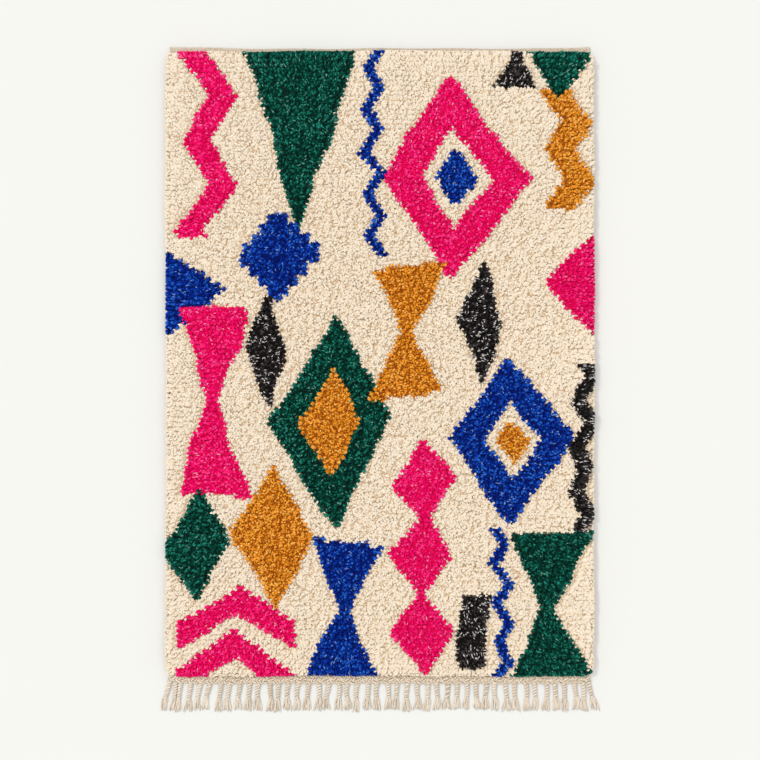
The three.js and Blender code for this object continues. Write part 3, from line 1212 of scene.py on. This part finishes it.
    def tones(self, row: np.ndarray, y: np.ndarray, yarn: np.ndarray) -> np.ndarray:
        """Works out the strands' dye tones, which drift from row to row.

        Args:
            row: each strand's row.
            y: each root's place along the rug.
            yarn: each strand's yarn.

        Returns:
            Each strand's tone.
        """
        slow = drift(0 * y, y, self.abrash_length, PileRun.ABRASH)
        abrash = 0.5 * slow + 0.5 * scatter(row, PileRun.ROW_DYE)
        spread = np.where(yarn == Yarn.CREAM.value, self.cream_tone_spread, self.tone_spread)
        tone = BODY_TONE + spread * self.random.normal(0, 1, len(y)) + self.abrash * abrash
        return np.clip(tone, self.darkest_tone, LIT_TONE)

    def strands(self) -> dict[str, np.ndarray]:
        """Works out every strand: its root, its lean, its height and its tone.

        Returns:
            One array for each named measure.
        """
        row, knot, strand = self.knot_grid()
        in_row, in_knot = (
            np.array(part)[strand] for part in (self.strands_in_row, self.strands_in_knot)
        )
        across = np.clip((knot + in_knot) / self.knots, self.rim_share, 1 - self.rim_share)
        root = np.stack(self.plan.place(across, (row + in_row) / self.rows), axis=1)
        root = root + np.array(self.root_scatter) * self.random.uniform(-1, 1, root.shape)
        middle_x, middle_y = self.knot_middle
        tie = self.plan.place((knot + middle_x) / self.knots, (row + middle_y) / self.rows)
        tie = np.stack(tie, axis=1)
        yarn = self.sheet.yarn_at(*tie.T)
        reach = self.loose_reach(root)
        reach[:, 1] += self.end_teeth(tie, yarn, root)
        root, reach, edge, leads = self.side_teeth(tie, yarn, strand, root, reach)
        x, y = root.T
        fall = self.fall(x, y)
        height = self.heights(x, y, leads) - fall
        reach = self.held(x, y, reach, edge)
        foot = self.ground_height - self.root_depth + self.tooth_root_lift * leads - fall
        return {
            "x": x, "y": y, "yarn": yarn, "leads": leads, "reach": reach, "height": height,
            "root": foot, "tone": self.tones(row, y, yarn),
        }

    def add_strands(
        self, store: MeshStore, strand: dict[str, np.ndarray], slimness: float = 1.0,
    ) -> None:
        """Adds strands as short bent spears.

        Args:
            store: where they are collected.
            strand: their measures.
            slimness: their thickness as a share of a full strand's.
        """
        count = len(strand["x"])
        stations = np.array(self.stations)
        leads, cream = strand["leads"], strand["yarn"] == Yarn.CREAM.value
        ahead = unit(strand["reach"])
        beside = np.stack([-ahead[:, 1], ahead[:, 0]], axis=1)
        bend = self.random.normal(0, self.curl, count)[:, None] * np.sin(np.pi * stations)[None, :]
        level = (
            np.stack([strand["x"], strand["y"]], axis=1)[:, None, :]
            + strand["reach"][:, None, :] * stations[None, :, None]
            + beside[:, None, :] * bend[:, :, None]
        )
        z = lerp(strand["root"][:, None], strand["height"][:, None], np.array(self.rises)[None, :])
        size = self.random.uniform(*self.strand_sizes, count)
        size = size[:, None] * slimness * np.where(leads[:, None], self.tooth_swell, self.swell)
        breadth = np.where(cream, self.cream_breadth, 1.0)[:, None] * self.strand_width
        depth = np.where(cream, self.cream_flatness, 1.0)[:, None] * self.strand_thickness
        low = np.where(cream, self.cream_root_light, self.root_light)
        low = np.where(leads, self.tooth_root_light, low)
        store.add_strands(
            np.concatenate([level, z[:, :, None]], axis=2),
            np.concatenate([beside, np.zeros((count, 1))], axis=1),
            size * breadth,
            size * depth,
            self.strand_sides,
            strand["tone"],
            np.stack([low, np.full(count, self.middle_light), np.ones(count)], axis=1),
        )

    def add_flecks(self, store: MeshStore, strand: dict[str, np.ndarray], share: float) -> None:
        """Adds pale strands over some of a yarn's own, in drifts, as carding leaves them.

        Args:
            store: where they are collected.
            strand: the yarn's own strands.
            share: how many of them have a pale one.
        """
        x, y = strand["x"], strand["y"]
        uneven = self.carding * drift(x, y, self.carding_length, PileRun.CARDING)
        pale = self.random.uniform(0, 1, len(x)) < share * np.clip(1 + uneven, 0, None)
        if not pale.any():
            return
        fleck = {name: value[pale] for name, value in strand.items()}
        fleck["tone"][:] = PALE_TONE
        fleck["height"] += self.fleck_lift
        fleck["reach"] *= self.fleck_reach
        for name in ("x", "y"):
            fleck[name] += self.random.normal(0, self.fleck_stray, pale.sum())
        self.add_strands(store, fleck, self.fleck_slimness)

    def build_strands(self) -> list[bpy.types.Object]:
        """Makes one piece for each dyed yarn, and three for the cream one.

        Returns:
            The pieces.
        """
        strands = self.strands()
        pieces = []
        for yarn in Yarn:
            finish = PILE_FINISHES[yarn]
            material = finish.material()
            cuts = self.cream_cuts if yarn is Yarn.CREAM else ()
            for number, (low, high) in enumerate(zip((-np.inf, *cuts), (*cuts, np.inf)), 1):
                chosen = strands["yarn"] == yarn.value
                chosen = chosen & (strands["y"] >= low) & (strands["y"] < high)
                part = {name: value[chosen] for name, value in strands.items()}
                store = MeshStore(self.plan)
                self.add_strands(store, part)
                self.add_flecks(store, part, finish.carded)
                label = f"pile_{yarn.name.lower()}" + (f"_{number}" if cuts else "")
                smooth = yarn is not Yarn.CREAM
                pieces.append(store.piece(label, material, "pile_wool", smooth))
        return pieces

    def ground_colours(self) -> tuple[np.ndarray, np.ndarray]:
        """Gives the colours of the ground's tufts and of the gaps between them, for each yarn, both
        darkened as painted shade.

        Returns:
            The tufts' colours with how much their gaps are narrowed, and the gaps' colours.
        """
        dyes, gaps = (
            np.array([(*PILE_FINISHES[yarn].shaded_hollow(depth), alpha) for yarn in Yarn])
            for depth, alpha in ((self.ground_shade_depth, 0.0), (self.gap_shade_depth, 1.0))
        )
        cream = PILE_FINISHES[Yarn.CREAM].shaded_hollow(self.cream_ground_shade_depth)
        dyes[Yarn.CREAM.value] = (*cream, self.cream_gap_narrowing)
        return dyes, gaps

    def build_ground(self) -> bpy.types.Object:
        """Makes the knotted ground under the tufts, one closed sheet whose yarn colours are
        darkened as painted shade.

        Returns:
            The piece.
        """
        rim = np.array(self.rim_columns) / (2 * self.plan.side)
        columns = np.sort(np.concatenate([np.linspace(0, 1, self.knots + 1), rim, 1 - rim]))
        lines = np.linspace(0, 1, 2 * self.rows + 1)
        x, y = self.plan.place(*np.meshgrid(columns, lines, indexing="ij"))
        number = np.arange(x.size).reshape(x.shape)
        bump = self.random.uniform(-self.ground_scatter, self.ground_scatter, x.shape)
        bump = bump + self.row_dip * (2 * (np.arange(len(lines)) % 2) - 1)[None, :]
        z = self.ground_height + bump - self.fall(x, y)
        top = np.stack([x, y, z], axis=-1).reshape(-1, 3)
        loop = (number[:-1, 0], number[-1, :-1], number[:0:-1, -1], number[0, :0:-1])
        loop = np.concatenate(loop)
        under = top[loop]
        under[:, 2] = FLOOR_GAP
        low = len(top) + np.arange(len(loop))
        faces = (number[:-1, :-1], number[1:, :-1], number[1:, 1:], number[:-1, 1:])
        faces = np.stack(faces, axis=-1).reshape(-1, 4)
        wall = np.stack([loop, low, np.roll(low, -1), np.roll(loop, -1)], axis=-1)
        yarns = self.sheet.yarn_at(x, y).reshape(-1)
        yarns = np.concatenate([yarns, yarns[loop]])
        dyes, gaps = self.ground_colours()
        store = MeshStore(self.plan)
        store.add(
            np.concatenate([top, under]), [faces, wall, low[None, ::-1]],
            dye=dyes[yarns], gap=gaps[yarns],
        )
        return store.piece("ground_weave", GroundFinish().material(), "pile_wool")


@dataclass
class Heading:
    """A flat-woven end band with fine ribs across it, and rows of twining where it has them."""

    plan: RugPlan
    name: str
    finish: WoolFinish
    end: End
    seam: float = 0.0004
    side_inset: float = 0.006

    # The band: its outline from the inner edge over the top to the outer one, and its ribs, which
    # are painted lighter where they rise and darker where they dip; its low edges get painted
    # shade.
    thickness: float = 0.0044
    station_pitch: float = 0.0026
    depths: tuple[float, ...] = (0, 0, 0.12, 0.28, 0.44, 0.6, 0.76, 0.90, 1, 1)
    rises: tuple[float, ...] = (0, 0.8, 0.95, 1, 0.92, 1.02, 0.9, 1.05, 0.7, 0)
    top_rise: float = 0.5
    rib_pitch: float = 0.0052
    rib_rise: float = 0.0006
    relief: float = 0.0004
    tone: float = 0.42
    rib_shade: float = 0.16
    tone_spread: float = 0.22
    lightest_tone: float = 0.85
    edge_light: float = 0.3

    # The twining: where its lines run in the band's depth, and how its cords are twisted. Its
    # turns, its way and its height are uneven by waves, each with its height, its length, its
    # phase for the first line and what each further line adds to that.
    twining: tuple[float, ...] = ()
    twining_pitch: float = 0.0020
    twining_over: float = 0.001
    twining_height: float = 0.0010
    uneven_turns: tuple[LineWave, ...] = ((0.22, 0.083, 1, 1), (0.15, 0.031, 0, 3))
    uneven_way: tuple[LineWave, ...] = ((0.0006, 0.045, 0, 1), (0.0007, 0.109, 0, 2))
    uneven_height: tuple[LineWave, ...] = ((0.0004, 0.067, 0, 1),)
    ply_radius: float = 0.0026
    ply_offset: float = 0.0023
    ply_sides: int = 5
    ply_lift: float = 0.4
    ply_scatter: float = 0.12
    ply_tones: tuple[float, float] = (0.45, 0.33)
    ply_light: float = 0.9
    flatness: float = 0.65
    lay: float = 0.0170

    def edges(self, x: np.ndarray) -> tuple[np.ndarray, np.ndarray]:
        """Gives the band's inner and outer edges.

        Args:
            x: places across the rug.

        Returns:
            The y of the inner edge and of the outer one.
        """
        if self.end is End.PLAIN:
            return self.plan.top_edge(x) + self.seam, self.plan.top_outer(x)
        return self.plan.bottom_edge(x) - self.seam, self.plan.bottom_outer(x)

    def add_band(self, store: MeshStore, x: np.ndarray) -> None:
        """Adds the woven band.

        Args:
            store: where it is collected.
            x: its stations across the rug.
        """
        inner, outer = self.edges(x)
        depth, rise = np.array(self.depths), np.array(self.rises)
        number = np.arange(x.size * depth.size).reshape(x.size, depth.size)
        phase = FULL_TURN * x / self.rib_pitch
        rib = np.cos(phase[:, None] + np.pi * np.arange(depth.size)[None, :])
        top = (rise > self.top_rise)[None, :]
        relief = self.rib_rise * rib + self.relief * scatter(number, EndRun.BAND_RELIEF)
        y = lerp(inner[:, None], outer[:, None], depth[None, :])
        z = FLOOR_GAP + self.thickness * rise[None, :] + top * relief
        points = np.stack([np.repeat(x[:, None], depth.size, axis=1), y, z], axis=-1)
        after = np.roll(number, -1, axis=1)
        walls = np.stack([number[:-1], number[1:], after[1:], after[:-1]], axis=-1).reshape(-1, 4)
        faces = [walls, number[:1], number[-1:, ::-1]]
        if self.end is End.PLAIN:
            faces = [face[:, ::-1] for face in faces]
        # Painted highlight and shade: the band's top is lighter where its ribs rise and darker
        # where they dip.
        tone = self.tone + self.rib_shade * rib * top
        tone = tone + self.tone_spread * scatter(number, EndRun.BAND_TONE)
        # Painted shade: the band darkens where its edges slope down to the floor.
        along = np.repeat(np.clip(rise, self.edge_light, 1)[None, :], x.size, axis=0)
        store.add(
            points.reshape(-1, 3), faces, tone=np.clip(tone, 0, self.lightest_tone).reshape(-1),
            along=along.reshape(-1), strand=np.zeros(number.size),
        )

    def stray(self, x: np.ndarray, waves: tuple[LineWave, ...], line: int) -> np.ndarray:
        """Gives how far a line of twining strays at each place across the rug."""
        return ripple(x, tuple((*size, first + line * step) for *size, first, step in waves))

    def add_twining(self, store: MeshStore, x: np.ndarray) -> None:
        """Adds the two-ply cords bound along the band, each twisted against the next.

        Args:
            store: where they are collected.
            x: their stations across the rug.
        """
        inner, outer = self.edges(x)
        level = self.twining_height + self.thickness + self.ply_lift * self.ply_radius
        across = np.array([[0.0, 1.0, 0.0]])
        for line, depth in enumerate(self.twining):
            hand = 1 - 2 * (line % 2)
            turns = x / self.lay + self.stray(x, self.uneven_turns, line)
            y = lerp(inner, outer, depth) + self.stray(x, self.uneven_way, line)
            z = level + self.stray(x, self.uneven_height, line)
            uneven = scatter(np.arange(x.size - 1), EndRun.TWINING + line)
            radius = self.ply_radius * (1 + self.ply_scatter * uneven)[None, :]
            for ply, tone in enumerate(self.ply_tones):
                angle = FULL_TURN * hand * turns + np.pi * ply
                ply_y = y + self.ply_offset * np.cos(angle)
                ply_z = z + self.flatness * self.ply_offset * np.sin(angle)
                store.add_strands(
                    np.stack([x, ply_y, ply_z], axis=-1)[None], across, radius,
                    self.flatness * radius, self.ply_sides, np.array([tone]),
                    np.full((1, x.size), self.ply_light), np.stack([x, y, z], axis=-1)[None],
                    self.flatness,
                )

    def build(self) -> bpy.types.Object:
        """Makes the band as one piece.

        Returns:
            The piece.
        """
        end = self.plan.side - self.side_inset
        store = MeshStore(self.plan)
        self.add_band(store, np.arange(-end, end, self.station_pitch))
        end_over = end + self.twining_over
        self.add_twining(store, np.arange(-end_over, end_over, self.twining_pitch))
        return store.piece(self.name, self.finish.material(), "heading_wool")


@dataclass
class CordLines:
    """How the fringe's cords lie, with one value for each cord.

    A cord has its root's x, how far its end leans, half the spread of its yarns, the y at which it
    starts and the one at which it opens, and its two bends. All yarns are about equally long.
    """

    root: np.ndarray
    lean: np.ndarray
    fan: np.ndarray
    start: np.ndarray
    neck: np.ndarray
    bow: np.ndarray
    kink: np.ndarray
    loose: float

    def x_at(self, y: np.ndarray) -> np.ndarray:
        """Gives each cord's x at each y.

        Args:
            y: the y of each station, one row for each cord.

        Returns:
            The x of each station.
        """
        whole = (self.start - self.neck) + self.loose
        share = (self.start[:, None] - y) / whole[:, None]
        turn = np.pi * np.clip(share, 0, 1)
        sway = self.bow[:, None] * np.sin(turn) + self.kink[:, None] * np.sin(2 * turn)
        return self.root[:, None] + self.lean[:, None] * share + sway


@dataclass
class Fringe:
    """The twisted cords under the fringed heading, each opening into loose yarn ends."""

    plan: RugPlan
    seed: int = 23

    # Where the cords hang. A corner cord is given by its root's x and its lean.
    inner_count: int = 41
    inner_first: float = -0.563
    inner_last: float = 0.551
    inner_scatter: float = 0.002
    lean_terms: tuple[float, float, float] = (-0.003, 0.006, 0.005)
    lean_scatter: float = 0.004
    left_cords: tuple[tuple[float, float], ...] = ((-0.596, -0.017), (-0.580, -0.013))
    right_cords: tuple[tuple[float, float], ...] = ((0.572, 0.012), (0.591, 0.021))
    root_depth: float = 0.006
    twisted: float = 0.046
    twisted_scatter: float = 0.0035
    loose: float = 0.034
    bow: float = 0.0045
    kink: float = 0.0024

    # The two plies of a cord.
    ply_radius: float = 0.0041
    ply_offset: float = 0.0036
    ply_sides: int = 6
    flatness: float = 0.38
    lay: float = 0.0150
    lay_scatter: float = 0.12
    turn_scatter: float = 3
    ring_pitch: float = 0.0017
    root_size: float = 0.6
    root_swell: float = 3
    neck_size: float = 0.80
    ply_tone_spread: float = 0.10
    lightest_ply: float = 0.85
    root_light: float = 0.85

    # The loose yarns that each cord opens into.
    yarns: int = 11
    yarn_radius: float = 0.0015
    yarn_sides: int = 5
    yarn_sizes: tuple[float, ...] = (1.1, 1.1, 1.1, 1.1, 1.05, 1.0, 0.75)
    yarn_overlap: float = 0.005
    yarn_scatter: tuple[float, float] = (-0.006, 0.003)
    yarn_light: float = 0.70
    yarn_tone: float = 0.5
    yarn_tone_spread: float = 0.16
    yarn_curl: float = 0.0010
    widest_fan: float = 0.0140
    fan_gap: float = 0.0002
    fan_start: float = 0.6
    fan_opening: float = 0.55
    stray: float = 0.22
    layers: tuple[float, float] = (1.2, 2.0)
    tip_height: float = 0.0020
    settling: float = 1.3
    yarn_gap: float = 0.0003

    def lay_out(self, random: np.random.Generator) -> CordLines:
        """Lays out the cords from left to right.

        Args:
            random: what their lengths are drawn from.

        Returns:
            How they lie.
        """
        index = np.arange(self.inner_count)
        root = lerp(self.inner_first, self.inner_last, index / (self.inner_count - 1))
        root = root + self.inner_scatter * scatter(index, EndRun.CORD_PLACE)
        share = root / self.plan.side
        middle, slope, flare = self.lean_terms
        lean = middle + slope * share + flare * share**3
        lean = lean + self.lean_scatter * scatter(index, EndRun.CORD_LEAN)
        inner = np.stack([root, lean], axis=1)
        roots, leans = np.concatenate([self.left_cords, inner, self.right_cords]).T
        gaps = np.diff(roots + leans, prepend=-np.inf, append=np.inf)
        fan = np.minimum(gaps[:-1], gaps[1:]) / 2 - self.fan_gap
        number = np.arange(len(roots))
        uneven = random.uniform(-self.twisted_scatter, self.twisted_scatter, len(roots))
        return CordLines(
            root=roots,
            lean=leans,
            fan=np.minimum(self.widest_fan, fan),
            start=self.plan.bottom_outer(roots) + self.root_depth,
            neck=self.plan.bottom_end - self.twisted + uneven,
            bow=self.bow * scatter(number, EndRun.CORD_BOW),
            kink=self.kink * scatter(number, EndRun.CORD_KINK),
            loose=self.loose,
        )

    def add_cords(self, store: MeshStore, lines: CordLines, random: np.random.Generator) -> None:
        """Adds the two plies of each cord, twisted round each other.

        Args:
            store: where they are collected.
            lines: how the cords lie.
            random: what their tones are drawn from.
        """
        count = len(lines.root)
        number = np.arange(count)
        across = np.repeat(np.array([[1.0, 0, 0]]), count, axis=0)
        share = np.linspace(0, 1, round((self.twisted + self.root_depth) / self.ring_pitch))
        below = (lines.start - lines.neck)[:, None] * share[None, :]
        y = lines.start[:, None] - below
        x = lines.x_at(y)
        snug = np.minimum(1, self.root_size + self.root_swell * share)[None, :]
        snug = lerp(1.0, self.neck_size, share)[None, :] * snug
        z = FLOOR_GAP + self.flatness * (self.ply_radius + self.ply_offset) * snug
        lay = self.lay * (1 + self.lay_scatter * scatter(number, EndRun.CORD_LAY))[:, None]
        first = self.turn_scatter * scatter(number, EndRun.CORD_TURN)[:, None]
        radius = self.ply_radius * snug * np.ones_like(x)
        light = np.repeat(lerp(self.root_light, 1, share)[None, :], count, axis=0)
        core = np.stack([x, y, z * np.ones_like(x)], axis=-1)
        for ply in range(2):
            angle = FULL_TURN * (lines.start[:, None] - y) / lay + np.pi * ply + first
            aside = self.ply_offset * snug
            centres = np.stack([
                x + aside * np.cos(angle), y, z + self.flatness * aside * np.sin(angle),
            ], axis=-1)
            tone = BODY_TONE + self.ply_tone_spread * random.normal(0, 1, count)
            store.add_strands(
                centres, across, radius[:, :-1], self.flatness * radius[:, :-1], self.ply_sides,
                np.clip(tone, 0, self.lightest_ply), light, core, self.flatness,
            )

    def add_yarns(self, store: MeshStore, lines: CordLines, random: np.random.Generator) -> None:
        """Adds the loose yarns that fan out from the end of each cord.

        Args:
            store: where they are collected.
            lines: how the cords lie.
            random: what their lengths, places, curls and tones are drawn from.
        """
        count = len(lines.root)
        across = np.repeat(np.array([[1.0, 0, 0]]), count, axis=0)
        share = np.linspace(0, 1, len(self.yarn_sizes) + 1)
        fan = (lines.fan - self.yarn_radius)[:, None]
        width = lerp(self.fan_start * self.ply_radius, fan, share[None, :] ** self.fan_opening)
        radius = self.yarn_radius * np.array(self.yarn_sizes)[None, :] * np.ones((count, 1))
        light = np.full((count, share.size), self.yarn_light)
        for yarn in range(self.yarns):
            place = 2 * yarn / (self.yarns - 1) - 1
            length = self.loose + random.uniform(*self.yarn_scatter, count)
            y = lines.neck[:, None] + self.yarn_overlap
            y = y - (length + self.yarn_overlap)[:, None] * share[None, :]
            stray = np.clip((place + self.stray * random.normal(0, 1, count))[:, None], -1, 1)
            curl = random.normal(0, self.yarn_curl, count)[:, None] * np.sin(FULL_TURN * share)
            x = lines.x_at(y) + stray * width + curl
            high = self.flatness * self.ply_radius * self.layers[yarn % 2]
            z = lerp(high, self.tip_height, np.minimum(1, self.settling * share))[None, :]
            z = np.maximum(z, self.yarn_radius + self.yarn_gap) * np.ones_like(x)
            tone = self.yarn_tone + self.yarn_tone_spread * random.normal(0, 1, count)
            store.add_strands(
                np.stack([x, y, z], axis=-1), across, radius, radius, self.yarn_sides,
                np.clip(tone, 0, LIT_TONE), light,
            )

    def build(self) -> bpy.types.Object:
        """Makes all the cords and their loose ends as one piece.

        Returns:
            The piece.
        """
        random = np.random.default_rng(self.seed)
        lines = self.lay_out(random)
        store = MeshStore(self.plan)
        self.add_cords(store, lines, random)
        self.add_yarns(store, lines, random)
        return store.piece("fringe_cords", FRINGE_FINISH.material(), "fringe_wool")


@dataclass(frozen=True)
class Studio:
    """A pale floor, soft light from the upper left, and the camera straight above."""

    camera_height: float = 3.3
    view_width: float = 2.1584
    aim: tuple[float, float] = (0.0, -0.0042)
    floor_size: float = 12.0
    floor_shade: Colour = (0.627, 0.6245, 0.597)
    floor_mottle: tuple[float, float] = (0.996, 1.004)
    floor_grain: float = 3.0
    floor_detail: float = 2.0
    floor_roughness: float = 0.9
    floor_gloss: float = 0.1
    sky: float = 1.24
    sun: float = 1.22
    sun_breadth: float = 9
    sun_distance: float = 4
    sun_from: tuple[float, float, float] = (-0.95, 0.60, 1.0)

    def floor(self) -> None:
        """Lays the pale floor."""
        bench = NodeBench("pale_floor")
        shades = (tuple(level * share for level in self.floor_shade) for share in self.floor_mottle)
        grain = bench.noise(self.floor_grain, self.floor_detail)
        material = bench.dress(
            bench.ramp(grain, *zip((0.0, 1.0), shades)),
            Roughness=self.floor_roughness, Specular_IOR_Level=self.floor_gloss,
        )
        mesh = bpy.data.meshes.new("floor")
        corners = ((-1, -1), (1, -1), (1, 1), (-1, 1))
        half = self.floor_size / 2
        mesh.from_pydata([(half * x, half * y, 0) for x, y in corners], [], [(0, 1, 2, 3)])
        mesh.materials.append(material)
        floor = bpy.data.objects.new("floor", mesh)
        bpy.context.scene.collection.objects.link(floor)

    def lights(self) -> None:
        """Hangs a broad soft light far off and lights the surroundings evenly."""
        data = bpy.data.lights.new("key", "SUN")
        data.energy = self.sun
        data.angle = math.radians(self.sun_breadth)
        lamp = bpy.data.objects.new("key", data)
        lamp.location = Vector(self.sun_from) * self.sun_distance
        lamp.rotation_euler = (-Vector(self.sun_from)).to_track_quat("-Z", "Y").to_euler()
        bpy.context.scene.collection.objects.link(lamp)
        world = bpy.data.worlds.new("studio")
        world.use_nodes = True
        background = world.node_tree.nodes["Background"]
        background.inputs["Color"].default_value = (1, 1, 1, 1)
        background.inputs["Strength"].default_value = self.sky
        bpy.context.scene.world = world

    def build(self, plan: RugPlan) -> None:
        """Sets the floor, the lights and the camera.

        Args:
            plan: the rug's plan, whose origin the camera is aimed by.
        """
        scene = bpy.context.scene
        self.floor()
        self.lights()
        scene.view_settings.view_transform = "Standard"
        data = bpy.data.cameras.new("camera")
        data.angle = 2 * math.atan(self.view_width / 2 / self.camera_height)
        camera = bpy.data.objects.new("camera", data)
        origin = plan.shift()
        camera.location = (origin[0] + self.aim[0], origin[1] + self.aim[1], self.camera_height)
        scene.collection.objects.link(camera)
        scene.camera = camera


def report(piece: bpy.types.Object) -> None:
    """Logs a piece's size.

    Args:
        piece: the piece.
    """
    mesh = piece.data
    triangles = len(mesh.loops) - 2 * len(mesh.polygons)
    LOG.info("%s: %d points, %d triangles", piece.name, len(mesh.vertices), triangles)


def main() -> None:
    """Builds the rug and its surroundings in order."""
    logging.basicConfig(level=logging.INFO, format="%(name)s: %(message)s")
    plan = RugPlan()
    Studio().build(plan)
    pile = PileField(plan, MotifSheet())
    ground = pile.build_ground()
    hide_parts("pile_field")
    strands = pile.build_strands()
    top = Heading(plan, "heading_band", PLAIN_HEADING_FINISH, End.PLAIN).build()
    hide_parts("heading_top")
    bottom = Heading(
        plan, "fringe_heading", FRINGED_HEADING_FINISH, End.FRINGED,
        thickness=0.0034, twining=(0.22, 0.54, 0.86),
    ).build()
    cords = Fringe(plan).build()
    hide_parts("fringe_bottom")
    for piece in (ground, *strands, top, bottom, cords):
        report(piece)


if __name__ == "__main__":
    main()
